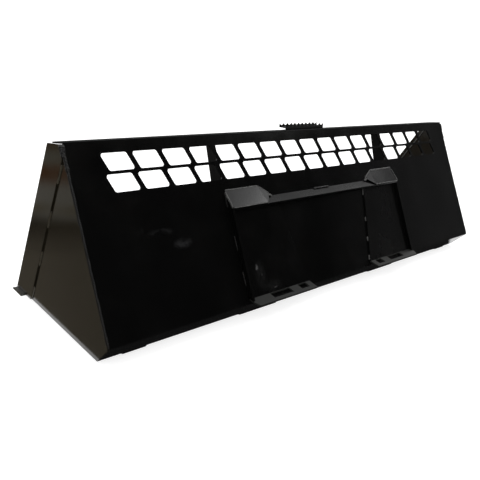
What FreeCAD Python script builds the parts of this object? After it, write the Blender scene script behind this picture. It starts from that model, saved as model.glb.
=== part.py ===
"""Skid steer bucket, 96 inches wide, with a see-through back and a universal quick-attach mount.

Frame: +X along the width, +Y towards the cutting edge, +Z up. The bucket stands on its cutting
edge and wear strips at Z = 0, and the origin is the bottom centre of its bounding box.
Two working frames are used, both turned about X only:
  bucket frame: its origin is the heel corner, where the heel plate meets the floor;
  sheet frame: its origin is the top edge of the back sheet's rear face, with -Z running down
  the sheet and -Y pointing out of it, towards the machine.
"""
import FreeCAD, Part
import os
import Sketcher

DIMENSIONS = (
    # shell
    ("bucket_width", 2438.0),
    ("sheet_lean", 25.5),
    ("sheet_length", 716.0),
    ("sheet_thick", 6.0),
    ("heel_size", 85.0),
    ("heel_angle", 45.0),
    ("heel_thick", 6.0),
    ("floor_thick", 6.0),
    ("floor_length", 758.0),
    ("side_thick", 8.0),
    ("side_reach", 776.0),
    ("rail_width", 70.0),
    ("rail_thick", 6.0),
    ("rail_drop", 6.5),
    ("rail_bend", 5.0),
    ("rail_gap", 0.2),
    ("side_top_width", 103.0),
    ("seam_notch", 6.0),
    # see-through windows
    ("window_pitch", 126.7),
    ("window_width", 107.6),
    ("window_height", 67.4),
    ("window_slant", 26.3),
    ("window_top", 46.3),
    ("window_row_gap", 11.2),
    ("window_row_shift", 4.3),
    ("window_corner", 11.0),
    ("window_count", 17.0),
    ("window_centre", -7.75),
    # side cutters, cutting edge and wear strips
    ("cutter_foot", 164.0),
    ("cutter_thick", 6.0),
    ("cutter_overhang", 30.0),
    ("cutter_top", 58.0),
    ("edge_thick", 12.0),
    ("edge_depth", 106.0),
    ("edge_front", 796.0),
    ("edge_bevel", 22.0),
    ("edge_nose", 3.0),
    ("edge_overhang", 20.0),
    ("strip_length", 640.0),
    ("strip_taper", 30.0),
    ("strip_outer_start", 1019.0),
    ("strip_outer_width", 100.0),
    ("strip_inner_start", 343.0),
    ("strip_inner_width", 217.0),
    # inner ribs
    ("rib_thick", 8.0),
    ("rib_centre", 572.0),
    ("rib_top_depth", 55.0),
    ("rib_foot_depth", 57.0),
    ("rib_head", 12.0),
    ("rib_gap", 0.2),
    # quick-attach mount, measured down the sheet and out of it
    ("mount_half_width", 583.0),
    ("gusset_thick", 10.0),
    ("gusset_top", 240.0),
    ("gusset_shoulder", 321.0),
    ("gusset_shoulder_depth", 28.5),
    ("gusset_foot_depth", 24.0),
    ("plate_thick", 8.0),
    ("plate_top", 310.0),
    ("plate_foot", 695.0),
    ("plate_inner_top", 313.0),
    ("plate_inner_foot", 229.0),
    ("hook_top", 288.0),
    ("hook_length", 47.0),
    ("hook_thick", 9.0),
    ("hook_angle", 43.0),
    ("ear_top", 239.0),
    ("ear_thick", 5.0),
    ("ear_crest", 401.0),
    ("ear_toe", 345.0),
    ("ear_toe_down", 277.0),
    ("ear_corner", 385.0),
    ("ear_lap", 6.0),
    ("flange_angle", 53.0),
    ("flange_depth", 53.0),
    ("flange_thick", 8.0),
    ("flange_outer", 582.0),
    ("flange_corner", 28.0),
    ("flange_corner_cut", 12.0),
    ("slot_start", 2.0),
    ("slot_width", 33.0),
    ("large_slot_start", 361.0),
    ("large_slot_length", 114.0),
    ("small_slot_start", 260.0),
    ("small_slot_length", 48.0),
    # step on the top rail
    ("step_width", 258.0),
    ("step_depth", 47.0),
    ("step_rear", 237.0),
    ("step_base", 737.0),
    ("step_rim", 754.0),
    ("step_metal", 4.0),
    ("step_teeth", 10.0),
    ("tooth_radius", 13.0),
    ("tooth_depth", 7.5),
    ("bracket_thick", 6.0),
    # welds
    ("weld_size", 6.0),
    ("stitch_gap", 137.0),
    ("stitch_length", 88.0),
    ("gusset_stitch", 60.0),
    ("gusset_stitch_upper", 248.0),
    ("gusset_stitch_middle", 430.0),
    ("gusset_stitch_lower", 580.0),
    ("cutter_stitch_start", 4.0),
    ("hook_stitch", 110.0),
    # distance from the heel corner forward to the middle of the bounding box
    ("origin_forward", 330.45),
)

doc = FreeCAD.newDocument("skid_steer_bucket")
sheet = doc.addObject("Spreadsheet::Sheet", "dims")
for row, (alias, value) in enumerate(DIMENSIONS, start=1):
    sheet.set("A%d" % row, alias)
    sheet.set("B%d" % row, str(value))
    sheet.setAlias("B%d" % row, alias)
doc.recompute()

SIDES = (("left", -1), ("right", 1))
parts = []


# ---- expressions -------------------------------------------------------------------------------

def dim(name):
    """Expression for one driving dimension."""
    return "dims." + name


def value(expression):
    """The number that an expression over the dimensions gives now."""
    return float(sheet.evalExpression(expression.replace("dims.", "")))


def sheet_point(down, out):
    """Bucket-frame (Y, Z) of a point `down` the back sheet and `out` of its rear face."""
    lean = dim("sheet_lean")
    along = "(%s - (%s))" % (dim("sheet_length"), down)
    y = "(-%s + %s * sin(%s) - (%s) * cos(%s))" % (dim("heel_size"), along, lean, out, lean)
    heel_rise = "%s * tan(%s)" % (dim("heel_size"), dim("heel_angle"))
    z = "(%s + %s * cos(%s) + (%s) * sin(%s))" % (heel_rise, along, lean, out, lean)
    return y, z


def rail_point(forward, below):
    """Bucket-frame (Y, Z) of a point `forward` along the top rail and `below` its upper face."""
    top_y, top_z = sheet_point("0", "0")
    drop = dim("rail_drop")
    y = "(%s + (%s) * cos(%s) - (%s) * sin(%s))" % (top_y, forward, drop, below, drop)
    z = "(%s - (%s) * sin(%s) - (%s) * cos(%s))" % (top_z, forward, drop, below, drop)
    return y, z


def side_front_point(back):
    """Bucket-frame corners of a line parallel to the cutter's front edge, `back` behind it at the floor."""
    top_y, top_z = rail_point(dim("side_top_width"), dim("rail_thick"))
    foot = ("(%s - (%s))" % (dim("side_reach"), back), "0")
    head = ("(%s - (%s))" % (top_y, back), top_z)
    return foot, head


# ---- frames ------------------------------------------------------------------------------------

def place(body, x_shift, base_y, base_z, turn):
    """Bind a body's placement: a shift, and a turn about X in degrees."""
    body.Placement = FreeCAD.Placement(
        FreeCAD.Vector(0, 0, 0), FreeCAD.Rotation(FreeCAD.Vector(1, 0, 0), 1.0))
    body.setExpression("Placement.Base.x", x_shift)
    body.setExpression("Placement.Base.y", "%s - %s" % (base_y, dim("origin_forward")))
    body.setExpression("Placement.Base.z", "%s + %s" % (base_z, dim("edge_thick")))
    body.setExpression("Placement.Rotation.Angle", "(%s) * 1 deg" % turn)


def new_body(label, frame, x_shift="0"):
    """A body placed in the bucket, sheet or flange frame, moved sideways by x_shift."""
    body = doc.addObject("PartDesign::Body", label)
    body.Label = label
    if frame == "bucket":
        place(body, x_shift, "0", "0", "0")
    elif frame == "sheet":
        top_y, top_z = sheet_point("0", "0")
        place(body, x_shift, top_y, top_z, "-" + dim("sheet_lean"))
    else:
        bend_y, bend_z = sheet_point(dim("plate_foot"), dim("plate_thick"))
        turn = "90 - %s - %s" % (dim("flange_angle"), dim("sheet_lean"))
        place(body, x_shift, bend_y, bend_z, turn)
    parts.append(body)
    return body


def origin_plane(body, role):
    """One of the body's own origin planes."""
    for feature in body.Origin.OriginFeatures:
        if feature.Role == role:
            return feature
    raise ValueError(role)


# ---- sketches and features ---------------------------------------------------------------------

def new_sketch(body, role, name):
    sketch = body.newObject("Sketcher::SketchObject", name)
    sketch.AttachmentSupport = [(origin_plane(body, role), "")]
    sketch.MapMode = "FlatFace"
    return sketch


def draw_polygon(sketch, corners):
    """A closed polygon whose corners are pairs of expressions, each bound to a constraint."""
    spots = [FreeCAD.Vector(value(u), value(v), 0) for u, v in corners]
    first = sketch.GeometryCount
    count = len(corners)
    for index in range(count):
        following = (index + 1) % count
        sketch.addGeometry(Part.LineSegment(spots[index], spots[following]), False)
    for index in range(count):
        following = (index + 1) % count
        sketch.addConstraint(Sketcher.Constraint("Coincident", first + index, 2, first + following, 1))
    for index, (u, v) in enumerate(corners):
        bind_distance(sketch, "DistanceX", first + index, 1, spots[index].x, u)
        bind_distance(sketch, "DistanceY", first + index, 1, spots[index].y, v)


def draw_circle(sketch, centre, radius):
    spot = FreeCAD.Vector(value(centre[0]), value(centre[1]), 0)
    index = sketch.addGeometry(Part.Circle(spot, FreeCAD.Vector(0, 0, 1), value(radius)), False)
    bind_distance(sketch, "DistanceX", index, 3, spot.x, centre[0])
    bind_distance(sketch, "DistanceY", index, 3, spot.y, centre[1])
    constraint = sketch.addConstraint(Sketcher.Constraint("Radius", index, value(radius)))
    sketch.setExpression("Constraints[%d]" % constraint, radius)


def bind_distance(sketch, kind, element, point, amount, expression):
    """Hold a sketch point at a signed distance from the sketch's origin."""
    constraint = sketch.addConstraint(Sketcher.Constraint(kind, -1, 1, element, point, amount))
    sketch.setExpression("Constraints[%d]" % constraint, expression)


def pad(body, sketch, length, backwards=False):
    feature = body.newObject("PartDesign::Pad", sketch.Name + "_pad")
    feature.Profile = sketch
    feature.setExpression("Length", length)
    feature.Reversed = backwards
    sketch.Visibility = False
    return feature


def pocket_through(body, sketch):
    """Cut a sketch through the whole body, both ways, and check that it removes material."""
    doc.recompute()
    before = body.Shape.Volume
    feature = body.newObject("PartDesign::Pocket", sketch.Name + "_cut")
    feature.Profile = sketch
    feature.Type = "ThroughAll"
    feature.Midplane = True
    doc.recompute()
    if body.Shape.Volume >= before:
        raise RuntimeError("%s cuts nothing" % feature.Name)
    return feature


def repeat_along(body, feature, sketch, length, occurrences):
    """Repeat a feature along the sketch's horizontal axis."""
    pattern = body.newObject("PartDesign::LinearPattern", feature.Name + "_row")
    pattern.Originals = [feature]
    pattern.Direction = (sketch, ["H_Axis"])
    pattern.setExpression("Length", length)
    pattern.setExpression("Occurrences", occurrences)
    body.Tip = pattern
    doc.recompute()
    return pattern


def section_body(label, frame, corners, x_from, width):
    """A piece of constant section: (Y, Z) corners, padded along X from x_from."""
    body = new_body(label, frame, x_from)
    sketch = new_sketch(body, "YZ_Plane", label + "_section")
    draw_polygon(sketch, corners)
    pad(body, sketch, width)
    return body


def side_start(side, inner, width):
    """X where a piece starts that spans inner to inner + width on one side of the bucket."""
    if side > 0:
        return inner
    return "-(%s) - (%s)" % (inner, width)


def signed(side, expression):
    return expression if side > 0 else "-(%s)" % expression


def down(expression):
    """Sheet-frame Z of a point that far down the sheet."""
    return "-(%s)" % expression


def out(expression):
    """Sheet-frame Y of a point that far out of the sheet."""
    return "-(%s)" % expression


# ---- shell -------------------------------------------------------------------------------------

def sheet_end_height():
    """How far down the sheet its top edge lies, where it meets the rail's underside."""
    return "(%s + %s)" % (dim("rail_thick"), dim("rail_gap"))


def back_sheet():
    """Flat sheet with two rows of slanted windows."""
    body = new_body("back_sheet", "sheet")
    half = "(%s / 2 - %s)" % (dim("bucket_width"), dim("seam_notch"))
    outline = new_sketch(body, "XZ_Plane", "back_sheet_outline")
    top, foot = down(sheet_end_height()), down(dim("sheet_length"))
    draw_polygon(outline, (("-" + half, top), (half, top), (half, foot), ("-" + half, foot)))
    pad(body, outline, dim("sheet_thick"), backwards=True)
    for row in (0, 1):
        window_row(body, row)
    round_windows(body)


def window_row(body, row):
    """One row: a parallelogram cut through the sheet and repeated along X."""
    span = "(%s - 1) * %s" % (dim("window_count"), dim("window_pitch"))
    overall = "(%s + %s + %s + %s)" % (
        span, dim("window_width"), dim("window_slant"), dim("window_row_shift"))
    left = "(%s - %s / 2 + %d * %s)" % (
        dim("window_centre"), overall, row, dim("window_row_shift"))
    high = "(%s + %d * (%s + %s))" % (
        dim("window_top"), row, dim("window_height"), dim("window_row_gap"))
    low = "(%s + %s)" % (high, dim("window_height"))
    sketch = new_sketch(body, "XZ_Plane", "window_row_%d" % (row + 1))
    draw_polygon(sketch, (
        (left, down(high)),
        ("%s + %s" % (left, dim("window_width")), down(high)),
        ("%s + %s + %s" % (left, dim("window_width"), dim("window_slant")), down(low)),
        ("%s + %s" % (left, dim("window_slant")), down(low))))
    cut = pocket_through(body, sketch)
    repeat_along(body, cut, sketch, span, dim("window_count"))


def round_windows(body):
    """Round every window corner: the edges through the sheet away from its own four corners."""
    base = body.Tip
    thick, reach = value(dim("sheet_thick")), value(dim("bucket_width")) / 2 - 20.0
    names = []
    for number, edge in enumerate(base.Shape.Edges, start=1):
        middle = edge.CenterOfMass
        if abs(edge.Length - thick) < 0.01 and abs(middle.x) < reach:
            names.append("Edge%d" % number)
    rounding = body.newObject("PartDesign::Fillet", "window_corners")
    rounding.Base = (base, names)
    rounding.setExpression("Radius", dim("window_corner"))
    doc.recompute()


def top_rail():
    """Strip that stiffens the top edge, rounded where it turns over the sheet."""
    corners = (
        rail_point("0", "0"),
        rail_point(dim("rail_width"), "0"),
        rail_point(dim("rail_width"), dim("rail_thick")),
        sheet_point(sheet_end_height(), "0"))
    body = section_body(
        "top_rail", "bucket", corners, "-%s / 2" % dim("bucket_width"), dim("bucket_width"))
    doc.recompute()
    round_edge_near(body, value(rail_point("0", "0")[0]), value(rail_point("0", "0")[1]),
                    dim("rail_bend"))


def round_edge_near(body, y, z, radius):
    """Fillet the long edge of a body's pad that passes through the point (y, z) of its own frame."""
    base = body.Tip
    for number, edge in enumerate(base.Shape.Edges, start=1):
        middle = edge.CenterOfMass
        if abs(middle.y - y) < 0.1 and abs(middle.z - z) < 0.1:
            rounding = body.newObject("PartDesign::Fillet", body.Name + "_bend")
            rounding.Base = (base, ["Edge%d" % number])
            rounding.setExpression("Radius", radius)
            return
    raise ValueError("no edge to round on " + body.Name)


def heel_inner_corner(gap):
    """A point `gap` past the heel plate's inner face, on the plane of the sheet's lower end."""
    turn = "(%s + %s)" % (dim("heel_angle"), dim("sheet_lean"))
    return sheet_point(dim("sheet_length"), "-(%s / cos(%s) + %s)" % (dim("heel_thick"), turn, gap))


def heel_and_floor():
    """Heel plate and floor, between the side plates."""
    half = "(%s / 2 - %s)" % (dim("bucket_width"), dim("side_thick"))
    heel_top = sheet_point(dim("sheet_length"), "0")
    heel_foot = ("0", "%s / cos(%s)" % (dim("heel_thick"), dim("heel_angle")))
    heel = (heel_top, heel_inner_corner("0"), heel_foot, ("0", "0"))
    section_body("heel_plate", "bucket", heel, "-" + half, "2 * " + half)
    floor = (
        ("0", "0"), (dim("floor_length"), "0"),
        (dim("floor_length"), dim("floor_thick")), ("0", dim("floor_thick")))
    section_body("floor_sheet", "bucket", floor, "-" + half, "2 * " + half)


def side_plates():
    """Side plates: the sheet laps their rear edges, the rail their top edges."""
    foot, head = side_front_point(dim("cutter_overhang"))
    corners = (
        ("0", "0"), foot, head,
        sheet_point(sheet_end_height(), "-" + dim("sheet_thick")),
        sheet_point(dim("sheet_length"), "-" + dim("sheet_thick")),
        sheet_point(dim("sheet_length"), "0"))
    inner = "(%s / 2 - %s)" % (dim("bucket_width"), dim("side_thick"))
    for name, side in SIDES:
        section_body("side_plate_" + name, "bucket", corners,
                     side_start(side, inner, dim("side_thick")), dim("side_thick"))


def seam_line():
    """Foot and head of the cutter's rear edge on the side plate."""
    foot = side_front_point(dim("cutter_foot"))[0]
    return foot, sheet_point(dim("cutter_top"), "-" + dim("sheet_thick"))


def side_cutters():
    """Wear bands on the outside of the side plates, along their front edges."""
    foot, head = side_front_point("0")
    seam_foot, seam_head = seam_line()
    corners = (
        seam_foot, foot, head,
        sheet_point(sheet_end_height(), "-" + dim("sheet_thick")),
        seam_head)
    inner = "(%s / 2)" % dim("bucket_width")
    for name, side in SIDES:
        section_body("side_cutter_" + name, "bucket", corners,
                     side_start(side, inner, dim("cutter_thick")), dim("cutter_thick"))


def cutting_edge():
    """Bevelled bar below the floor's front, longer than the bucket is wide."""
    rear = "(%s - %s)" % (dim("edge_front"), dim("edge_depth"))
    corners = (
        (rear, "-" + dim("edge_thick")),
        (dim("edge_front"), "-" + dim("edge_thick")),
        (dim("edge_front"), "-%s + %s" % (dim("edge_thick"), dim("edge_nose"))),
        ("%s - %s" % (dim("edge_front"), dim("edge_bevel")), "0"),
        (rear, "0"))
    half = "(%s / 2 + %s)" % (dim("bucket_width"), dim("edge_overhang"))
    section_body("cutting_edge", "bucket", corners, "-" + half, "2 * " + half)


def wear_strips():
    """Skid strips under the floor, tapered at the heel end."""
    thick, length = dim("edge_thick"), dim("strip_length")
    corners = (
        (dim("strip_taper"), "-" + thick), (length, "-" + thick), (length, "0"),
        ("2", "0"), ("2", "-%s / 2" % thick))
    for name, side in SIDES:
        for place_name in ("outer", "inner"):
            start = dim("strip_%s_start" % place_name)
            width = dim("strip_%s_width" % place_name)
            section_body("wear_strip_%s_%s" % (place_name, name), "bucket", corners,
                         side_start(side, start, width), width)


def ribs():
    """Full-height stiffeners inside the bucket, in line with the mount's gussets."""
    rear = "-(%s + %s)" % (dim("sheet_thick"), dim("rib_gap"))
    foot = "(%s + %s)" % (dim("floor_thick"), dim("rib_gap"))
    corners = (
        sheet_point(dim("rib_head"), rear),
        sheet_point(dim("rib_head"), "-" + dim("rib_top_depth")),
        (dim("rib_foot_depth"), foot),
        ("%s / 2" % dim("heel_thick"), foot),
        heel_inner_corner("3 * " + dim("rib_gap")),
        sheet_point("%s - 10 * %s" % (dim("sheet_length"), dim("rib_gap")), rear))
    inner = "(%s - %s / 2)" % (dim("rib_centre"), dim("rib_thick"))
    for name, side in SIDES:
        section_body("rib_" + name, "bucket", corners,
                     side_start(side, inner, dim("rib_thick")), dim("rib_thick"))


# ---- quick-attach mount ------------------------------------------------------------------------

def flange_top(depth):
    """How far down the sheet the pin flange's upper face lies, at a depth out of the sheet."""
    return "(%s + (%s - %s) / tan(%s))" % (
        dim("plate_foot"), depth, dim("plate_thick"), dim("flange_angle"))


def mount_gussets():
    """Side guides of the mount, standing out of the sheet and down onto the pin flanges."""
    foot_depth = dim("gusset_foot_depth")
    corners = (
        ("0", down(dim("gusset_top"))),
        (out(dim("gusset_shoulder_depth")), down(dim("gusset_shoulder"))),
        (out(foot_depth), down(flange_top(foot_depth))),
        ("0", down(flange_top("0"))))
    inner = "(%s - %s)" % (dim("mount_half_width"), dim("gusset_thick"))
    for name, side in SIDES:
        section_body("mount_gusset_" + name, "sheet", corners,
                     side_start(side, inner, dim("gusset_thick")), dim("gusset_thick"))


def mount_plates():
    """Coupler faces, wider at the foot than at the hook."""
    outer = "(%s - %s)" % (dim("mount_half_width"), dim("gusset_thick"))
    for name, side in SIDES:
        body = new_body("mount_plate_" + name, "sheet")
        sketch = new_sketch(body, "XZ_Plane", "mount_plate_outline_" + name)
        draw_polygon(sketch, (
            (signed(side, dim("plate_inner_top")), down(dim("plate_top"))),
            (signed(side, outer), down(dim("plate_top"))),
            (signed(side, outer), down(dim("plate_foot"))),
            (signed(side, dim("plate_inner_foot")), down(dim("plate_foot")))))
        pad(body, sketch, dim("plate_thick"))


def hook_edge(back):
    """Down and out of the hook bar's upper rear edge, `back` along its upper face from that edge."""
    along = "(%s - (%s))" % (dim("hook_length"), back)
    reach_down = "(%s + %s * cos(%s))" % (dim("hook_top"), along, dim("hook_angle"))
    reach_out = "(%s * sin(%s))" % (along, dim("hook_angle"))
    return reach_down, reach_out


def hook_bar():
    """Bar that hooks over the coupler's top edge, between the gussets."""
    angle, thick = dim("hook_angle"), dim("hook_thick")
    edge_down, edge_out = hook_edge("0")
    under_down = "(%s + %s * sin(%s))" % (edge_down, thick, angle)
    under_out = "(%s - %s * cos(%s))" % (edge_out, thick, angle)
    root = "(%s + %s / sin(%s))" % (dim("hook_top"), thick, angle)
    corners = (
        ("0", down(dim("hook_top"))), (out(edge_out), down(edge_down)),
        (out(under_out), down(under_down)), ("0", down(root)))
    half = "(%s - %s)" % (dim("mount_half_width"), dim("gusset_thick"))
    section_body("hook_bar", "sheet", corners, "-" + half, "2 * " + half)


def hook_ears():
    """Folded plates that close the hook bar's ends against the sheet, like hipped roofs."""
    edge_down, edge_out = hook_edge(dim("ear_lap"))
    low = (value(out(edge_out)), value(down(edge_down)))
    top = value(down(dim("ear_top")))
    thick = value(dim("ear_thick"))
    for name, side in SIDES:
        end = FreeCAD.Vector(side * value(dim("mount_half_width")), 0, top)
        crest = FreeCAD.Vector(side * value(dim("ear_crest")), 0, top)
        toe = FreeCAD.Vector(side * value(dim("ear_toe")), 0, value(down(dim("ear_toe_down"))))
        corner = FreeCAD.Vector(side * value(dim("ear_corner")), low[0], low[1])
        end_low = FreeCAD.Vector(side * value(dim("mount_half_width")), low[0], low[1])
        roof = folded_plate((end, crest, corner, end_low), thick)
        hip = folded_plate((crest, toe, corner), thick)
        ear = doc.addObject("Part::Feature", "hook_ear_" + name)
        ear.Label = "hook_ear_" + name
        ear.Shape = roof.fuse(hip).removeSplitter()
        top_y, top_z = sheet_point("0", "0")
        place(ear, "0", top_y, top_z, "-" + dim("sheet_lean"))
        parts.append(ear)


def folded_plate(corners, thick):
    """A flat plate on the given corners, thickened away from the sheet."""
    face = Part.Face(Part.makePolygon(list(corners) + [corners[0]]))
    normal = face.normalAt(0, 0)
    if normal.y > 0:
        normal = -normal
    return face.extrude(normal * thick)


def pin_flanges():
    """Bottom flanges of the mount, each with a large and a small slot for the coupler's wedge."""
    for name, side in SIDES:
        body = new_body("pin_flange_" + name, "flange")
        sketch = new_sketch(body, "XY_Plane", "pin_flange_outline_" + name)
        inner, outer = signed(side, dim("plate_inner_foot")), signed(side, dim("flange_outer"))
        cut = signed(side, "(%s - %s)" % (dim("flange_outer"), dim("flange_corner_cut")))
        draw_polygon(sketch, (
            (inner, "0"), (outer, "0"), (outer, "-" + dim("flange_corner")),
            (cut, "-" + dim("flange_depth")), (inner, "-" + dim("flange_depth"))))
        pad(body, sketch, dim("flange_thick"), backwards=True)
        bend = new_sketch(body, "YZ_Plane", "pin_flange_bend_" + name)
        draw_bend(bend)
        length = "(%s - %s)" % (dim("flange_outer"), dim("plate_inner_foot"))
        bend_pad = pad(body, bend, length, backwards=side < 0)
        bend.setExpression("AttachmentOffset.Base.z", inner)
        bend_pad.Refine = True
        slots = new_sketch(body, "XY_Plane", "pin_slots_" + name)
        for size in ("large", "small"):
            draw_slot(slots, side, size)
        pocket_through(body, slots)


def draw_bend(sketch):
    """Section that joins the flange to the foot of the mount plate."""
    inset = "%s * sin(%s)" % (dim("plate_thick"), dim("flange_angle"))
    drop = "-%s * cos(%s)" % (dim("plate_thick"), dim("flange_angle"))
    draw_polygon(sketch, (("0", "0"), ("0", "-" + dim("flange_thick")), (inset, drop)))


def draw_slot(sketch, side, size):
    near = signed(side, dim(size + "_slot_start"))
    far = signed(side, "(%s + %s)" % (dim(size + "_slot_start"), dim(size + "_slot_length")))
    front = "-" + dim("slot_start")
    rear = "-(%s + %s)" % (dim("slot_start"), dim("slot_width"))
    draw_polygon(sketch, ((near, front), (far, front), (far, rear), (near, rear)))


# ---- step --------------------------------------------------------------------------------------

def step():
    """Serrated foot tread on the top rail, and the bar that carries it."""
    body = new_body("step_tread", "bucket")
    rear, front = dim("step_rear"), "(%s + %s)" % (dim("step_rear"), dim("step_depth"))
    base, rim, metal = dim("step_base"), dim("step_rim"), dim("step_metal")
    section = new_sketch(body, "YZ_Plane", "step_section")
    draw_polygon(section, (
        (rear, base), (front, base), (front, rim),
        ("%s - %s" % (front, metal), rim), ("%s - %s" % (front, metal), "%s + %s" % (base, metal)),
        ("%s + %s" % (rear, metal), "%s + %s" % (base, metal)), ("%s + %s" % (rear, metal), rim),
        (rear, rim)))
    section.setExpression("AttachmentOffset.Base.z", "-%s / 2" % dim("step_width"))
    pad(body, section, dim("step_width"))
    scallop = new_sketch(body, "XZ_Plane", "step_scallop")
    pitch = "(%s / %s)" % (dim("step_width"), dim("step_teeth"))
    first = "-%s / 2 + %s / 2" % (dim("step_width"), pitch)
    height = "(%s - %s + %s)" % (rim, dim("tooth_depth"), dim("tooth_radius"))
    draw_circle(scallop, (first, height), dim("tooth_radius"))
    cut = pocket_through(body, scallop)
    repeat_along(body, cut, scallop, "(%s - 1) * %s" % (dim("step_teeth"), pitch), dim("step_teeth"))
    bar_front = "(%s + %s)" % (rear, dim("bracket_thick"))
    rail_slope = "tan(%s)" % dim("rail_drop")
    top_y, top_z = sheet_point("0", "0")
    corners = (
        (rear, base), (bar_front, base),
        (bar_front, "(%s - (%s - %s) * %s)" % (top_z, bar_front, top_y, rail_slope)),
        (rear, "(%s - (%s - %s) * %s)" % (top_z, rear, top_y, rail_slope)))
    section_body("step_bracket", "bucket", corners, "-%s / 2" % dim("step_width"), dim("step_width"))


# ---- welds -------------------------------------------------------------------------------------

def seam_welds():
    """Corner beads where the back sheet laps the side plates and the cutters."""
    size, half = dim("seam_notch"), "(%s / 2)" % dim("bucket_width")
    for name, side in SIDES:
        corners = (
            ("0", down(sheet_end_height())), ("0", down(dim("sheet_length"))),
            (dim("sheet_thick"), down(dim("sheet_length"))),
            (dim("sheet_thick"), down(sheet_end_height())))
        section_body("weld_seam_" + name, "sheet", corners,
                     side_start(side, "(%s - %s)" % (half, size), size), size)
        corners = (
            ("0", down(sheet_end_height())), ("0", down(dim("cutter_top"))),
            (dim("sheet_thick"), down(dim("cutter_top"))),
            (dim("sheet_thick"), down(sheet_end_height())))
        section_body("weld_corner_" + name, "sheet", corners,
                     side_start(side, half, dim("cutter_thick")), dim("cutter_thick"))


def cutter_welds():
    """Stitch beads along the cutters' rear edges."""
    (foot_y, foot_z), (head_y, head_z) = seam_line()
    run_y, run_z = value(head_y) - value(foot_y), value(head_z) - value(foot_z)
    seam = (run_y ** 2 + run_z ** 2) ** 0.5
    along = FreeCAD.Vector(0, run_y / seam, run_z / seam)
    behind = FreeCAD.Vector(0, -along.z, along.y)
    size, stitch = value(dim("weld_size")), value(dim("stitch_length"))
    pitch = stitch + value(dim("stitch_gap"))
    for name, side in SIDES:
        face = FreeCAD.Vector(side * value(dim("bucket_width")) / 2, value(foot_y), value(foot_z))
        beads = []
        start = value(dim("cutter_stitch_start"))
        while start < seam - 2 * size:
            length = min(stitch, seam - 2 * size - start)
            root = face + along * start
            corners = (root, root + behind * size, root + FreeCAD.Vector(side * size, 0, 0))
            triangle = Part.Face(Part.makePolygon(list(corners) + [corners[0]]))
            beads.append(triangle.extrude(along * length))
            start += pitch
        node = doc.addObject("Part::Feature", "weld_cutter_" + name)
        node.Label = "weld_cutter_" + name
        node.Shape = Part.makeCompound(beads)
        place(node, "0", "0", "0", "0")
        parts.append(node)


def gusset_welds():
    """Stitch beads on the outside of the gussets, and the bead along the hook bar's top edge."""
    size, length = value(dim("weld_size")), value(dim("gusset_stitch"))
    outer = value(dim("mount_half_width"))
    top_y, top_z = sheet_point("0", "0")
    for name, side in SIDES:
        beads = []
        for level in ("upper", "middle", "lower"):
            depth = value(dim("gusset_stitch_" + level))
            corner = FreeCAD.Vector(side * outer, 0, -depth - length)
            corners = (
                corner, corner + FreeCAD.Vector(side * size, 0, 0), corner + FreeCAD.Vector(0, -size, 0))
            triangle = Part.Face(Part.makePolygon(list(corners) + [corners[0]]))
            beads.append(triangle.extrude(FreeCAD.Vector(0, 0, length)))
        node = doc.addObject("Part::Feature", "weld_gusset_" + name)
        node.Label = "weld_gusset_" + name
        node.Shape = Part.makeCompound(beads)
        place(node, "0", top_y, top_z, "-" + dim("sheet_lean"))
        parts.append(node)


def hook_weld():
    """Stitch bead in the middle of the hook bar's upper edge."""
    size, length = dim("weld_size"), dim("hook_stitch")
    reach_down = "(%s + %s * cos(%s))" % (dim("hook_top"), size, dim("hook_angle"))
    reach_out = "(%s * sin(%s))" % (size, dim("hook_angle"))
    corners = (
        ("0", down("(%s - %s)" % (dim("hook_top"), size))),
        (out(reach_out), down(reach_down)),
        ("0", down(dim("hook_top"))))
    section_body("weld_hook", "sheet", corners, "-%s / 2" % length, length)


# ---- build, check and write --------------------------------------------------------------------

def build_all():
    back_sheet()
    top_rail()
    heel_and_floor()
    side_plates()
    side_cutters()
    cutting_edge()
    wear_strips()
    ribs()
    mount_gussets()
    mount_plates()
    hook_bar()
    hook_ears()
    pin_flanges()
    step()
    seam_welds()
    cutter_welds()
    gusset_welds()
    hook_weld()
    doc.recompute()


def check_all():
    for item in doc.Objects:
        if "Invalid" in item.State or "Error" in item.State:
            raise RuntimeError("%s: %s" % (item.Name, item.State))
    for item in parts:
        if item.Shape.isNull() or not item.Shape.isValid() or not item.Shape.Solids:
            raise RuntimeError("bad shape: " + item.Label)


def write_all():
    os.makedirs("parts", exist_ok=True)
    for item in parts:
        item.Shape.exportStep("parts/%s.step" % item.Label)


build_all()
check_all()
write_all()
whole = Part.makeCompound([item.Shape for item in parts]).BoundBox
print("box %.1f..%.1f  %.1f..%.1f  %.1f..%.1f" % (
    whole.XMin, whole.XMax, whole.YMin, whole.YMax, whole.ZMin, whole.ZMax))
print("pieces:", len(parts))
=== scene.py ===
"""Looks of the skid steer bucket: painted steel, weld beads, studio light and the camera."""
import math

import bmesh
import bpy
from mathutils import Matrix, Vector, noise


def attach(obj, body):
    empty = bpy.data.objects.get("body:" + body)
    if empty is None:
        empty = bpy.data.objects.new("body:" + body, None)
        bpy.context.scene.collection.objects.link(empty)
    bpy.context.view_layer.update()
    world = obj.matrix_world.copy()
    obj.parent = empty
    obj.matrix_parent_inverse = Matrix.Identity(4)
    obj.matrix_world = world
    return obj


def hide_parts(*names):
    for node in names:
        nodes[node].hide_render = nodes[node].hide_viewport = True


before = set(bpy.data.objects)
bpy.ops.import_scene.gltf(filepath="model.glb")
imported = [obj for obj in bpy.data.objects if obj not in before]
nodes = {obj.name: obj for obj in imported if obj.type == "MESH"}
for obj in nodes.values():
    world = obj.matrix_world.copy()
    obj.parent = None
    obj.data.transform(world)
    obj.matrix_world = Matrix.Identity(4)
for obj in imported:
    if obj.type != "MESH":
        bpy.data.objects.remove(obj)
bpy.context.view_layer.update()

# The bucket's working frames, in metres, as its design has them.
ORIGIN_FORWARD = 0.33045
EDGE_THICK = 0.012
LEAN = math.radians(25.5)
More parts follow.
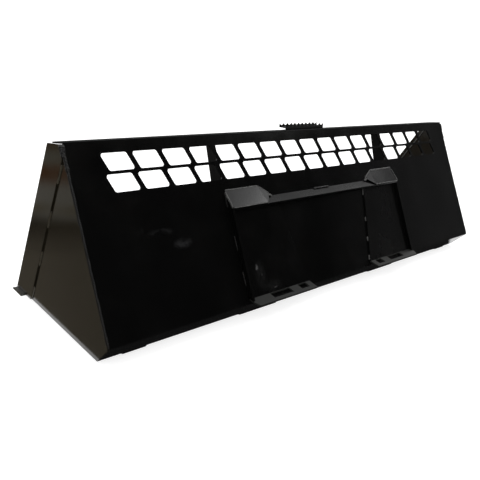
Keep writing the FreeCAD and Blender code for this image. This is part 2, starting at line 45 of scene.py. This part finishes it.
SHEET_LENGTH = 0.716
SHEET_THICK = 0.006
HEEL_SIZE = 0.085
HALF_WIDTH = 1.219
MOUNT_HALF = 0.583
HOOK_TOP = 0.288
HOOK_ANGLE = math.radians(43.0)
HOOK_LENGTH = 0.047
EAR_TOP = 0.239
EAR_CREST = 0.401
EAR_TOE = 0.345
EAR_TOE_DOWN = 0.277
EAR_CORNER = 0.385
PLATE_THICK = 0.008
PLATE_TOP = 0.310
PLATE_FOOT = 0.695
PLATE_INNER_TOP = 0.313
PLATE_INNER_FOOT = 0.229
SIDE_REACH = 0.776
CUTTER_FOOT = 0.164
CUTTER_TOP = 0.058
CUTTER_OVERHANG = 0.030
SIDE_TOP_WIDTH = 0.103
RAIL_DROP = math.radians(6.5)
RAIL_THICK = 0.006

REAR = Vector((0.0, -math.cos(LEAN), math.sin(LEAN)))
DOWN = Vector((0.0, -math.sin(LEAN), -math.cos(LEAN)))
SIDEWAYS = Vector((1.0, 0.0, 0.0))


def bucket(x, y, z):
    """A point measured from the heel corner."""
    return Vector((x, y - ORIGIN_FORWARD, z + EDGE_THICK))


SHEET_TOP = bucket(
    0.0,
    -HEEL_SIZE + SHEET_LENGTH * math.sin(LEAN),
    HEEL_SIZE + SHEET_LENGTH * math.cos(LEAN))


def on_sheet(x, down, out=0.0):
    """A point that far down the back sheet, and out of its rear face."""
    return SHEET_TOP + SIDEWAYS * x + DOWN * down + REAR * out


# ---- materials -----------------------------------------------------------------------------------

class Graph:
    """A small helper that adds nodes to one material and links them."""

    def __init__(self, name):
        self.material = bpy.data.materials.new(name)
        self.material.use_nodes = True
        self.tree = self.material.node_tree
        self.shader = next(n for n in self.tree.nodes if n.type == "BSDF_PRINCIPLED")
        self.place = self.add("ShaderNodeTexCoord").outputs["Object"]

    def add(self, kind, links=None, **settings):
        """A new node, with its settings, and its inputs linked or set."""
        node = self.tree.nodes.new(kind)
        for key, value in settings.items():
            setattr(node, key, value)
        for socket, source in (links or {}).items():
            self.feed(node.inputs[socket], source)
        return node

    def feed(self, socket, source):
        """Link a socket to another one, or give it a constant."""
        if isinstance(source, bpy.types.NodeSocket):
            self.tree.links.new(source, socket)
        else:
            socket.default_value = source

    def stretched(self, scale):
        """Object coordinates, scaled by axis."""
        return self.add("ShaderNodeMapping", {"Vector": self.place, "Scale": scale}).outputs["Vector"]

    def noise(self, scale, detail=3.0, rough=0.55, vector=None, distortion=0.0):
        """Cloudy values between 0 and 1, over object coordinates unless a vector is given."""
        node = self.add("ShaderNodeTexNoise", {
            "Vector": vector or self.place, "Scale": scale, "Detail": detail,
            "Roughness": rough, "Distortion": distortion})
        return node.outputs["Fac"]

    def ramp(self, factor, low, high, dark=0.0, light=1.0):
        """Map factor from low..high to dark..light, clamped."""
        node = self.add("ShaderNodeMapRange", {
            "Value": factor, "From Min": low, "From Max": high, "To Min": dark, "To Max": light})
        return node.outputs["Result"]

    def maths(self, operation, a, b):
        """One operation on two values."""
        node = self.add("ShaderNodeMath", {0: a, 1: b}, operation=operation)
        return node.outputs["Value"]

    def blend(self, factor, a, b):
        """Colour a where the factor is 0, and b where it is 1."""
        node = self.add("ShaderNodeMix", data_type="RGBA")
        self.feed(node.inputs["Factor"], factor)
        self.feed(node.inputs[6], a)
        self.feed(node.inputs[7], b)
        return node.outputs[2]

    def near(self, point, size, soft=0.3):
        """1 close to a point and 0 outside an ellipsoid of that size about it."""
        scale = [1.0 / length for length in size]
        shift = [-place * factor for place, factor in zip(point, scale)]
        moved = self.add("ShaderNodeMapping", {"Vector": self.place, "Location": shift, "Scale": scale})
        length = self.add("ShaderNodeVectorMath", {0: moved.outputs["Vector"]}, operation="LENGTH")
        return self.ramp(length.outputs["Value"], soft, 1.0, 1.0, 0.0)

    def bump(self, height, distance, strength, normal=None):
        """A bumped normal, on top of another bump if one is given."""
        links = {"Height": height, "Distance": distance, "Strength": strength}
        if normal is not None:
            links["Normal"] = normal
        return self.add("ShaderNodeBump", links).outputs["Normal"]


# Linear colours of what lies on the enamel, or shows through it, and the lighter tone of the painted
# highlight smears.
DUST = (0.012, 0.0105, 0.0085, 1.0)
SCUFF = (0.05, 0.048, 0.044, 1.0)
FLECK = (0.06, 0.057, 0.05, 1.0)
SMEAR_HIGHLIGHT = (0.024, 0.024, 0.025, 1.0)


def black_paint(name, colour=(0.0012, 0.0012, 0.0012), dust=0.35, gloss=0.2, specular=0.4,
                peel=1.0, waviness=1.0, scuffs=1.0, highlight_smears=(), chips_and_glints=()):
    """Black enamel over plate: faint dust, orange peel, slight waviness and a few fine scuffs.

    Highlight smears are painted highlights, soft lighter streaks of glare, each a point and a size.
    Chips and glints are small lighter spots, each a point, a size and a grey tone: a real scratch on
    the sheet, and painted highlights of glare on the mount plate.
    """
    g = Graph(name)
    cloud = g.noise(3.1, 5.0, 0.6)
    patch = g.noise(11.0, 4.0, 0.6, distortion=0.4)
    mottle = g.maths("MULTIPLY", g.ramp(cloud, 0.45, 0.75), g.ramp(patch, 0.35, 0.7))
    mottle = g.maths("MULTIPLY", mottle, dust)
    base = g.blend(mottle, (*colour, 1.0), DUST)

    fine = g.noise(1.0, 6.0, 0.7, g.stretched((19.0, 160.0, 160.0)))
    speck = g.noise(260.0, 2.0, 0.5)
    mark = g.maths("MULTIPLY", g.ramp(fine, 0.70, 0.74), g.ramp(patch, 0.56, 0.62))
    mark = g.maths("MULTIPLY", mark, scuffs)
    base = g.blend(mark, base, SCUFF)
    fleck = g.maths("MULTIPLY", g.ramp(speck, 0.77, 0.80), 0.5 * scuffs)
    base = g.blend(fleck, base, FLECK)
    # Painted highlights: soft lighter streaks of glare on the enamel.
    for point, size in highlight_smears:
        streak = g.noise(30.0, 3.0, 0.6, distortion=0.6)
        glare = g.maths("MULTIPLY", g.near(point, size), g.ramp(streak, 0.38, 0.62))
        base = g.blend(g.maths("MULTIPLY", glare, 0.35), base, SMEAR_HIGHLIGHT)
    # Lighter spots: real chips and scratches, and painted highlights where a spot stands for glare.
    for point, size, tone in chips_and_glints:
        chip_and_glint_area = g.near(point, size, 0.0)
        streak = g.noise(55.0, 3.0, 0.6, distortion=0.8)
        chip_and_glint_mask = g.maths("MULTIPLY", chip_and_glint_area, g.ramp(streak, 0.35, 0.6))
        base = g.blend(chip_and_glint_mask, base, (tone, tone, tone, 1.0))
    g.feed(g.shader.inputs["Base Color"], base)

    smear = g.noise(6.0, 4.0, 0.55, g.stretched((1.0, 1.0, 0.45)))
    rough = g.ramp(smear, 0.3, 0.75, gloss * 0.8, gloss * 1.45)
    rough = g.maths("ADD", rough, g.maths("MULTIPLY", mottle, 0.35))
    rough = g.maths("ADD", rough, g.maths("MULTIPLY", mark, 0.25))
    g.feed(g.shader.inputs["Roughness"], rough)
    g.shader.inputs["Specular IOR Level"].default_value = specular

    wave = g.noise(2.3, 2.0, 0.4)
    normal = g.bump(wave, 0.02, 0.12 * waviness)
    normal = g.bump(g.noise(330.0, 2.0, 0.5), 0.0006, 0.16 * peel, normal)
    normal = g.bump(mark, 0.0004, 0.2, normal)
    g.feed(g.shader.inputs["Normal"], normal)
    return g.material


def weld_paint(name, colour=(0.0015, 0.0015, 0.0015), mottle=(0.007, 0.006, 0.005)):
    """Black enamel over rough weld metal: shinier, pitted and with a little rusty dust; lighter colours
    given to some beads are painted highlights and painted reflections.
    """
    g = Graph(name)
    patch = g.noise(60.0, 4.0, 0.6)
    base = g.blend(g.ramp(patch, 0.5, 0.75), (*colour, 1.0), (*mottle, 1.0))
    g.feed(g.shader.inputs["Base Color"], base)
    g.feed(g.shader.inputs["Roughness"], g.ramp(g.noise(45.0, 3.0), 0.3, 0.7, 0.12, 0.28))
    g.shader.inputs["Specular IOR Level"].default_value = 0.35
    normal = g.bump(g.noise(420.0, 3.0, 0.6), 0.0008, 0.35)
    g.feed(g.shader.inputs["Normal"], normal)
    return g.material


FLOOR_GLOW = 0.75


def pale_floor(name):
    """A matt, faintly clouded floor that glows a little, so that it stays near white."""
    g = Graph(name)
    cloud = g.noise(1.5, 3.0)
    base = g.blend(cloud, (0.50, 0.50, 0.50, 1.0), (0.53, 0.53, 0.53, 1.0))
    g.feed(g.shader.inputs["Base Color"], base)
    g.shader.inputs["Emission Color"].default_value = (1.0, 1.0, 1.0, 1.0)
    g.shader.inputs["Emission Strength"].default_value = FLOOR_GLOW
    g.shader.inputs["Roughness"].default_value = 0.9
    g.shader.inputs["Specular IOR Level"].default_value = 0.1
    return g.material


def dress(node, material):
    """Put a material on every slot of a CAD piece."""
    piece = nodes[node]
    if not piece.material_slots:
        piece.data.materials.append(material)
    for slot in piece.material_slots:
        slot.material = material


# Painted highlights: soft glare smears on the back sheet.
SHEET_HIGHLIGHT_SMEARS = (
    (on_sheet(-1.006, 0.344), (0.022, 0.03, 0.014)),
    (on_sheet(-0.922, 0.361), (0.060, 0.03, 0.016)),
    (on_sheet(-0.834, 0.415), (0.050, 0.04, 0.022)))
# Painted highlights: soft glows and small glints of glare on the left mount plate.
MOUNT_GLINTS = (
    (on_sheet(-0.500, 0.610, PLATE_THICK), (0.035, 0.06, 0.085), 0.007),
    (on_sheet(-0.440, 0.668, PLATE_THICK), (0.060, 0.03, 0.026), 0.007),
    (on_sheet(-0.513, 0.578, PLATE_THICK), (0.010, 0.02, 0.016), 0.070),
    (on_sheet(-0.496, 0.612, PLATE_THICK), (0.008, 0.02, 0.012), 0.035),
    (on_sheet(-0.434, 0.676, PLATE_THICK), (0.014, 0.01, 0.006), 0.030))
# A real scratch on the sheet between the mount plates.
SHEET_NICKS = ((on_sheet(-0.271, 0.527), (0.004, 0.03, 0.030), 0.020),)

SHEET = black_paint("sheet_paint", gloss=0.18, dust=0.1, specular=0.22, scuffs=0.15,
                    highlight_smears=SHEET_HIGHLIGHT_SMEARS, chips_and_glints=SHEET_NICKS)
SIDE = black_paint("side_paint", colour=(0.006, 0.005, 0.003), gloss=0.085, dust=0.25,
                   specular=0.35, waviness=0.7, scuffs=0.25)
MOUNT = black_paint("mount_paint", gloss=0.22, dust=0.1, specular=0.22, scuffs=0.2,
                    chips_and_glints=MOUNT_GLINTS)
HOOK = black_paint("hook_paint", gloss=0.24, dust=0.1, specular=0.14, scuffs=0.2)
FLANGE = black_paint("flange_paint", colour=(0.007, 0.0075, 0.0065), gloss=0.34, dust=0.3,
                     specular=0.3, scuffs=0.3)
RAIL = black_paint("rail_paint", gloss=0.30, dust=0.1, specular=0.05, scuffs=0.1)
TREAD = black_paint("tread_paint", gloss=0.42, dust=0.1, specular=0.12, scuffs=0.1)
WEAR = black_paint("wear_paint", colour=(0.004, 0.0035, 0.003), gloss=0.2, dust=0.3, specular=0.35,
                   peel=1.4, scuffs=0.5)
INSIDE = black_paint("inside_paint", gloss=0.4, dust=0.2, specular=0.10, scuffs=0.5)
EDGE = black_paint("edge_paint", colour=(0.013, 0.012, 0.008), gloss=0.3, dust=0.5, specular=0.3,
                   peel=1.4, scuffs=0.8)
BEAD = weld_paint("weld_paint")
# Painted highlights: a lighter weld paint that stands for the glossy glints on the ear outlines, plate
# stitches and cutter mouth.
PAINTED_HIGHLIGHT_BEAD = weld_paint("painted_highlight_weld_paint", (0.030, 0.030, 0.029), (0.085, 0.085, 0.080))
# Painted reflection: a lighter, brownish weld paint that stands for the side plate's reflected ground
# tone on the cutter stitches.
SIDE_REFLECTION_BEAD = weld_paint("side_reflection_weld_paint", (0.022, 0.019, 0.013), (0.030, 0.025, 0.018))

# The paint of each piece, by the start of its name; the sheets have the sheet's.
PAINTS = (
    ("side_", SIDE), ("hook_bar", HOOK), ("pin_flange", FLANGE), ("top_rail", RAIL),
    ("mount", MOUNT), ("hook_ear", MOUNT), ("step", TREAD), ("cutting_edge", EDGE),
    ("wear_strip", WEAR), ("rib", INSIDE), ("floor", INSIDE), ("weld", BEAD))

for name in nodes:
    dress(name, next((paint for start, paint in PAINTS if name.startswith(start)), SHEET))


# ---- weld beads ----------------------------------------------------------------------------------

ARC = 10
RING_SPACING = 0.0016
WANDER_RATE = 38.0
WANDER_STEP = 7.3
END_TAPER = 1.2

# Each bead's half width, height, pitch of its scales, and unevenness.
SEAM_TOP_BEAD = dict(wide=0.0080, high=0.0070, pitch=0.012, uneven=0.5)
SEAM_BEAD = dict(wide=0.0055, high=0.0042, pitch=0.009, uneven=0.35)
CORNER_BEAD = dict(wide=0.0075, high=0.0065, pitch=0.010, uneven=0.5)
CUTTER_BEAD = dict(wide=0.0052, high=0.0042, pitch=0.008, uneven=0.3)
MOUTH_BEAD = dict(wide=0.0055, high=0.0048, pitch=0.009, uneven=0.3)
GUSSET_BEAD = dict(wide=0.0036, high=0.0030, pitch=0.006, uneven=0.4)
HOOK_BEAD = dict(wide=0.0062, high=0.0056, pitch=0.006, uneven=0.3)
EAR_TOP_BEAD = dict(wide=0.0038, high=0.0028, pitch=0.006, uneven=0.3)
EAR_END_BEAD = dict(wide=0.0048, high=0.0038, pitch=0.006, uneven=0.35)
EAR_FOOT_BEAD = dict(wide=0.0042, high=0.0034, pitch=0.006, uneven=0.3)
EAR_TOE_BEAD = dict(wide=0.0070, high=0.0060, pitch=0.008, uneven=0.4)
PLATE_BEAD = dict(wide=0.0048, high=0.0040, pitch=0.006, uneven=0.4)

# Where the beads start and stop along the plates, and how they sit in their corners.
PROUD = 0.001
MID_SHEET = -SHEET_THICK / 2
SEAM_INSET = 0.004
SEAM_START = 0.008
SEAM_TOP_END = 0.105
SEAM_LOWER_START = 0.100
SEAM_END_GAP = 0.002
CORNER_PROUD = 0.002
CORNER_END = 0.054
STITCH_START = 0.004
STITCH_LENGTH = 0.088
STITCH_PERIOD = 0.225
STITCH_END_GAP = 0.012
MOUTH_INSET = 0.0055
MOUTH_END_GAP = 0.010
GUSSET_STITCHES = (0.248, 0.430, 0.580)
GUSSET_STITCH_LENGTH = 0.060
HOOK_BEAD_HALF = 0.053
PLATE_STITCHES = ((0.04, 0.13), (0.42, 0.48), (0.68, 0.74), (0.92, 0.985))


def bead_section(centre, side, out, wide, high, swell):
    """Points of one cross-section: an arc from one foot of the bead over to the other."""
    ring = []
    for step in range(ARC + 1):
        angle = math.pi * (step / ARC - 0.5)
        ring.append(centre + side * (wide * math.sin(angle) * swell[step])
                    + out * (high * math.cos(angle) * swell[step]))
    return ring


def ripple(along, angle, pitch):
    """Height of the overlapping scales of a bead at a distance along it."""
    phase = (along / pitch + 0.45 * math.cos(angle)) % 1.0
    return 1.0 - 0.30 * phase ** 1.6


def add_bead(mesh, start, end, out, wide, high, pitch, uneven, seed):
    """One rippled bead from start to end, bulging towards out, closed at both ends."""
    run = end - start
    length = run.length
    along = run.normalized()
    out = (out - along * out.dot(along)).normalized()
    side = along.cross(out)
    steps = max(6, int(length / RING_SPACING))
    rings = []
    for number in range(steps + 1):
        distance = length * number / steps
        wander = Vector((distance * WANDER_RATE + seed, seed * 1.7, 3.1))
        size = 1.0 + uneven * noise.noise(wander)
        close = min(distance, length - distance)
        taper = math.sqrt(max(0.0, 1.0 - (1.0 - min(1.0, close / (wide * END_TAPER))) ** 2))
        size *= 0.25 + 0.75 * taper
        swell = [ripple(distance, math.pi * (step / ARC - 0.5), pitch)
                 for step in range(ARC + 1)]
        drift = side * (uneven * 0.6 * wide * noise.noise(wander + Vector((9.0, 4.0, 1.0))))
        centre = start + along * distance + drift
        rings.append([mesh.verts.new(point) for point in
                      bead_section(centre, side, out, wide * size, high * size, swell)])
    for first, second in zip(rings, rings[1:]):
        for step in range(ARC):
            mesh.faces.new((first[step], first[step + 1], second[step + 1], second[step]))
        mesh.faces.new((first[ARC], first[0], second[0], second[ARC]))
    mesh.faces.new(list(reversed(rings[0])))
    mesh.faces.new(rings[-1])


def bead_piece(name, runs, *replaced, material=BEAD):
    """One piece made of several beads, riding on the bucket.

    Each run is a start, an end, the way that the bead bulges, and the bead's sizes.
    """
    mesh = bmesh.new()
    for number, (start, end, out, sizes) in enumerate(runs):
        add_bead(mesh, start, end, out, seed=number * WANDER_STEP, **sizes)
    bmesh.ops.recalc_face_normals(mesh, faces=mesh.faces)
    data = bpy.data.meshes.new(name)
    mesh.to_mesh(data)
    mesh.free()
    for face in data.polygons:
        face.use_smooth = True
    data.materials.append(material)
    piece = bpy.data.objects.new(name, data)
    bpy.context.scene.collection.objects.link(piece)
    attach(piece, "root")
    if replaced:
        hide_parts(*replaced)


def heel_frame(point):
    """A world point as measured from the heel corner."""
    return point - bucket(0.0, 0.0, 0.0)


def rail_underside(forward):
    """Heel-frame point under the top rail, that far forward of the sheet's top edge."""
    return heel_frame(SHEET_TOP) + Vector((
        0.0,
        forward * math.cos(RAIL_DROP) - RAIL_THICK * math.sin(RAIL_DROP),
        -forward * math.sin(RAIL_DROP) - RAIL_THICK * math.cos(RAIL_DROP)))


def seam_beads(side, name):
    """Along the back sheet's side edge: heavy and lumpy at the top, slim below."""
    x = side * (HALF_WIDTH - SEAM_INSET)
    out = REAR + SIDEWAYS * side * 0.8
    runs = [
        (on_sheet(x, SEAM_START, MID_SHEET), on_sheet(x, SEAM_TOP_END, MID_SHEET), out,
         SEAM_TOP_BEAD),
        (on_sheet(x, SEAM_LOWER_START, MID_SHEET),
         on_sheet(x, SHEET_LENGTH - SEAM_END_GAP, MID_SHEET), out, SEAM_BEAD)]
    bead_piece("seam_bead_" + name, runs, "weld_seam_" + name)


def corner_beads(side, name):
    """Where the side cutter's top end meets the back sheet."""
    x = side * (HALF_WIDTH + CORNER_PROUD)
    runs = [(on_sheet(x, SEAM_START, MID_SHEET), on_sheet(x, CORNER_END, MID_SHEET),
             REAR + SIDEWAYS * side * 0.6, CORNER_BEAD)]
    bead_piece("corner_bead_" + name, runs, "weld_corner_" + name)


def cutter_beads(side, name):
    """Stitches along the cutter's rear edge, from its foot to its head."""
    foot = Vector((0.0, SIDE_REACH - CUTTER_FOOT, 0.0))
    head = heel_frame(on_sheet(0.0, CUTTER_TOP, -SHEET_THICK))
    along = (head - foot).normalized()
    seam = (head - foot).length
    behind = Vector((0.0, -along.z, along.y))
    base = bucket(side * (HALF_WIDTH + PROUD), 0.0, 0.0)
    runs = []
    start = STITCH_START
    while start < seam - STITCH_END_GAP:
        length = min(STITCH_LENGTH, seam - STITCH_END_GAP - start)
        runs.append((base + foot + along * start + behind * PROUD,
                     base + foot + along * (start + length) + behind * PROUD,
                     SIDEWAYS * side + behind, CUTTER_BEAD))
        start += STITCH_PERIOD
    # These stitches carry the painted reflection of the side plate's tone.
    bead_piece("cutter_bead_" + name, runs, "weld_cutter_" + name, material=SIDE_REFLECTION_BEAD)


def mouth_beads(side, name):
    """Inside the cutter, along the side plate's set-back front edge."""
    top = rail_underside(SIDE_TOP_WIDTH)
    foot = Vector((0.0, SIDE_REACH - CUTTER_OVERHANG, MOUTH_END_GAP))
    head = Vector((0.0, top.y - CUTTER_OVERHANG, top.z - MOUTH_END_GAP))
    base = bucket(side * (HALF_WIDTH - MOUTH_INSET), 0.0, 0.0)
    ahead = Vector((0.0, head.z - foot.z, foot.y - head.y)).normalized()
    runs = [(base + foot, base + head, ahead - SIDEWAYS * side, MOUTH_BEAD)]
    # This bead carries painted highlights.
    bead_piece("mouth_bead_" + name, runs, material=PAINTED_HIGHLIGHT_BEAD)


def gusset_beads(side, name):
    """Stitches outside the gusset."""
    x = side * (MOUNT_HALF + PROUD)
    out = SIDEWAYS * side + REAR
    runs = [(on_sheet(x, depth, PROUD), on_sheet(x, depth + GUSSET_STITCH_LENGTH, PROUD), out,
             GUSSET_BEAD) for depth in GUSSET_STITCHES]
    bead_piece("gusset_bead_" + name, runs, "weld_gusset_" + name)


def hook_bead():
    """The bead at the middle of the hook bar's root."""
    root = HOOK_TOP - PROUD
    runs = [(on_sheet(-HOOK_BEAD_HALF, root, PROUD), on_sheet(HOOK_BEAD_HALF, root, PROUD),
             REAR - DOWN * 1.2, HOOK_BEAD)]
    bead_piece("hook_bead", runs, "weld_hook")


def hook_point(x, back, lift=0.0):
    """A point on the hook bar's upper face, `back` from its rear edge."""
    reach = HOOK_LENGTH - back
    return on_sheet(x, HOOK_TOP + reach * math.cos(HOOK_ANGLE), reach * math.sin(HOOK_ANGLE) + lift)


def ear_beads(side):
    """Round one ear: its top, its crease to the toe, its outer end, its foot and its toe."""
    upward = REAR - DOWN
    crest = on_sheet(side * EAR_CREST, EAR_TOP - PROUD, 0.003)
    end = side * (MOUNT_HALF - PROUD)
    return [
        (on_sheet(side * (MOUNT_HALF - 0.004), EAR_TOP - PROUD, 0.003), crest, upward,
         EAR_TOP_BEAD),
        (crest, on_sheet(side * EAR_TOE, EAR_TOE_DOWN - 0.002, 0.003), upward - SIDEWAYS * side,
         EAR_TOP_BEAD),
        (on_sheet(end, EAR_TOP + 0.006, 0.005), hook_point(end, 0.005, 0.002),
         SIDEWAYS * side + REAR * 0.7, EAR_END_BEAD),
        (hook_point(side * (MOUNT_HALF - 0.006), 0.0045, 0.002),
         hook_point(side * (EAR_CORNER + 0.002), 0.0045, 0.002), REAR * 0.6 - DOWN,
         EAR_FOOT_BEAD),
        (on_sheet(side * (EAR_TOE + 0.010), EAR_TOE_DOWN + 0.004, 0.004),
         on_sheet(side * (EAR_TOE - 0.012), HOOK_TOP + PROUD, 0.004), upward, EAR_TOE_BEAD)]


def plate_edge(side, share):
    """A point on the slanted inner edge of a mount plate, from its top (0) to its foot (1)."""
    x = PLATE_INNER_TOP + (PLATE_INNER_FOOT - PLATE_INNER_TOP) * share
    down = PLATE_TOP + (PLATE_FOOT - PLATE_TOP) * share
    return on_sheet(side * (x - PROUD), down, PROUD)


def plate_beads(side):
    """Stitches along the slanted inner edge of a mount plate."""
    return [(plate_edge(side, first), plate_edge(side, last), REAR - SIDEWAYS * side, PLATE_BEAD)
            for first, last in PLATE_STITCHES]


for side, name in ((-1, "left"), (1, "right")):
    seam_beads(side, name)
    corner_beads(side, name)
    cutter_beads(side, name)
    mouth_beads(side, name)
    gusset_beads(side, name)
hook_bead()
# The ear and plate beads carry painted highlights.
bead_piece("mount_beads", [bead for side in (-1, 1) for bead in ear_beads(side) + plate_beads(side)],
           material=PAINTED_HIGHLIGHT_BEAD)


# ---- stage, light and camera ---------------------------------------------------------------------

def plane_object(name, centre, normal, width, height, material):
    """A flat rectangle on the stage, facing along its normal."""
    mesh = bmesh.new()
    for u, v in ((-1, -1), (1, -1), (1, 1), (-1, 1)):
        mesh.verts.new((u * width / 2, v * height / 2, 0.0))
    mesh.faces.new(mesh.verts)
    data = bpy.data.meshes.new(name)
    mesh.to_mesh(data)
    mesh.free()
    data.materials.append(material)
    plane = bpy.data.objects.new(name, data)
    plane.matrix_world = (
        Matrix.Translation(centre) @ Vector(normal).to_track_quat("Z", "Y").to_matrix().to_4x4())
    bpy.context.scene.collection.objects.link(plane)
    return plane


def card(name, centre, target, width, height, graph, colour, strength=1.0):
    """A studio card facing a point, which glows and only shows in reflections."""
    graph.shader.inputs["Base Color"].default_value = (0.0, 0.0, 0.0, 1.0)
    graph.shader.inputs["Specular IOR Level"].default_value = 0.0
    graph.feed(graph.shader.inputs["Emission Color"], colour)
    graph.shader.inputs["Emission Strength"].default_value = strength
    facing = Vector(target) - Vector(centre)
    plane = plane_object(name, centre, facing, width, height, graph.material)
    plane.visible_camera = False
    plane.visible_diffuse = False
    plane.visible_shadow = False
    plane.visible_transmission = False
    plane.visible_volume_scatter = False


def dark_card(name, centre, target, width, height, grey):
    """A card of one dark grey."""
    card(name, centre, target, width, height, Graph(name), (grey, grey, grey, 1.0))


# Soft ground tones that the left side plate mirrors: distance across the bands, and linear colour.
GROUND_BANDS = (
    (1.55, (0.56, 0.49, 0.38)), (1.90, (0.27, 0.23, 0.18)), (2.24, (0.10, 0.08, 0.06)),
    (2.42, (1.00, 0.96, 0.84)), (3.10, (1.05, 1.00, 0.88)), (3.33, (0.50, 0.20, 0.08)),
    (3.78, (0.50, 0.18, 0.07)), (4.02, (0.80, 0.80, 0.66)), (4.50, (0.74, 0.74, 0.60)),
    (4.75, (0.44, 0.30, 0.18)))
BAND_TURN = 0.727
BAND_SPAN = 6.0
BAND_STRENGTH = 0.26


BROWN_SPOTS = ((-1.80, 1.70, 0.0), (-1.95, 1.52, 0.0))
SPOT_SIZE = (0.10, 0.16, 0.5)
SPOT_COLOUR = (0.46, 0.33, 0.14, 1.0)


def banded_card(name, centre, target, width, height):
    """A card with soft bands of ground colours and two brown spots."""
    g = Graph(name)
    across = Vector((-math.sin(BAND_TURN), math.cos(BAND_TURN), 0.0))
    g.place = g.add("ShaderNodeNewGeometry").outputs["Position"]
    warp = g.noise(1.3, 2.0, 0.5)
    along = g.add("ShaderNodeVectorMath", {0: g.place, 1: across}, operation="DOT_PRODUCT")
    level = g.maths("ADD", along.outputs["Value"], g.ramp(warp, 0.3, 0.7, -0.12, 0.12))
    ramp = g.add("ShaderNodeValToRGB", {"Fac": g.maths("DIVIDE", level, BAND_SPAN)})
    stops = ramp.color_ramp.elements
    while len(stops) < len(GROUND_BANDS):
        stops.new(0.5)
    for stop, (distance, colour) in zip(stops, GROUND_BANDS):
        stop.position = distance / BAND_SPAN
        stop.color = (*colour, 1.0)
    colour = ramp.outputs["Color"]
    for spot in BROWN_SPOTS:
        colour = g.blend(g.near(spot, SPOT_SIZE, 0.2), colour, SPOT_COLOUR)
    card(name, centre, target, width, height, g, colour, BAND_STRENGTH)


def area_light(name, centre, target, width, height, power):
    """A white rectangular light aimed at a point."""
    light = bpy.data.lights.new(name, "AREA")
    light.shape = "RECTANGLE"
    light.size = width
    light.size_y = height
    light.energy = power
    lamp = bpy.data.objects.new(name, light)
    lamp.location = centre
    lamp.rotation_euler = (Vector(target) - Vector(centre)).to_track_quat("-Z", "Y").to_euler()
    bpy.context.scene.collection.objects.link(lamp)


# Cards in one dark grey: name, centre, the point faced, width, height and grey.
DARK_CARDS = (
    ("rear_card", (2.6, -6.5, 3.2), (0.0, 0.0, 0.4), 9.0, 8.0, 0.004),
    ("right_card", (8.2, -4.6, 3.0), (0.6, 0.0, 0.4), 7.0, 8.0, 0.12),
    ("left_rear_card", (-6.5, -4.5, 2.6), (-1.2, 0.0, 0.4), 8.0, 7.0, 0.03),
    ("left_wall_card", (-9.0, 1.0, 3.6), (0.0, 0.0, 0.4), 12.0, 7.0, 0.06),
    ("front_card", (6.5, 8.5, 2.3), (0.0, 0.0, 0.7), 18.0, 4.6, 0.02),
    ("heel_card", (0.0, -0.55, 0.0004), (0.0, -0.55, 2.0), 2.42, 1.6, 0.01),
    ("mouth_card", (3.6, 6.8, 0.0003), (3.6, 6.8, 2.0), 18.0, 12.6, 0.02))
FLOOR_SIZE = 400.0
FLOOR_LEVEL = -0.001
WORLD_STRENGTH = 1.4

plane_object("floor", (0.0, 0.0, FLOOR_LEVEL), (0.0, 0.0, 1.0), FLOOR_SIZE, FLOOR_SIZE,
             pale_floor("floor"))
for settings in DARK_CARDS:
    dark_card(*settings)
banded_card("left_card", (-3.3, 1.2, 0.0005), (-3.3, 1.2, 2.0), 4.12, 7.0)

world = bpy.data.worlds.new("studio")
world.use_nodes = True
backdrop = next(n for n in world.node_tree.nodes if n.type == "BACKGROUND")
backdrop.inputs["Color"].default_value = (1.0, 1.0, 1.0, 1.0)
backdrop.inputs["Strength"].default_value = WORLD_STRENGTH
bpy.context.scene.world = world
bpy.context.scene.view_settings.view_transform = "Standard"

area_light("glint_light", (-3.6, -3.6, 4.2), (-0.6, 0.0, 0.5), 0.16, 0.16, 14.0)
area_light("top_light", (2.8, -1.5, 3.2), (0.0, -0.3, 0.5), 1.2, 0.9, 24.0)


SENSOR_WIDTH = 36.0
LENS = 39.9075
CAMERA_PLACE = bucket(-1.94013, -1.52242, 1.02749)
CAMERA_YAW = 0.72712
CAMERA_PITCH = 0.32620
CAMERA_ROLL = -0.06105


def aim_camera(position, yaw, pitch, roll):
    """A camera looking along yaw from +Y towards +X, pitched down and rolled, all in radians."""
    forward = Vector((
        math.sin(yaw) * math.cos(pitch), math.cos(yaw) * math.cos(pitch), -math.sin(pitch)))
    right = Vector((math.cos(yaw), -math.sin(yaw), 0.0))
    down = forward.cross(right)
    level_right = right * math.cos(roll) + down * math.sin(roll)
    level_down = down * math.cos(roll) - right * math.sin(roll)
    turn = Matrix((level_right, -level_down, -forward)).transposed().to_4x4()
    camera = bpy.data.cameras.new("camera")
    camera.sensor_width = SENSOR_WIDTH
    camera.lens = LENS
    camera.clip_end = 500.0
    holder = bpy.data.objects.new("camera", camera)
    holder.matrix_world = Matrix.Translation(position) @ turn
    bpy.context.scene.collection.objects.link(holder)
    bpy.context.scene.camera = holder


aim_camera(CAMERA_PLACE, CAMERA_YAW, CAMERA_PITCH, CAMERA_ROLL)
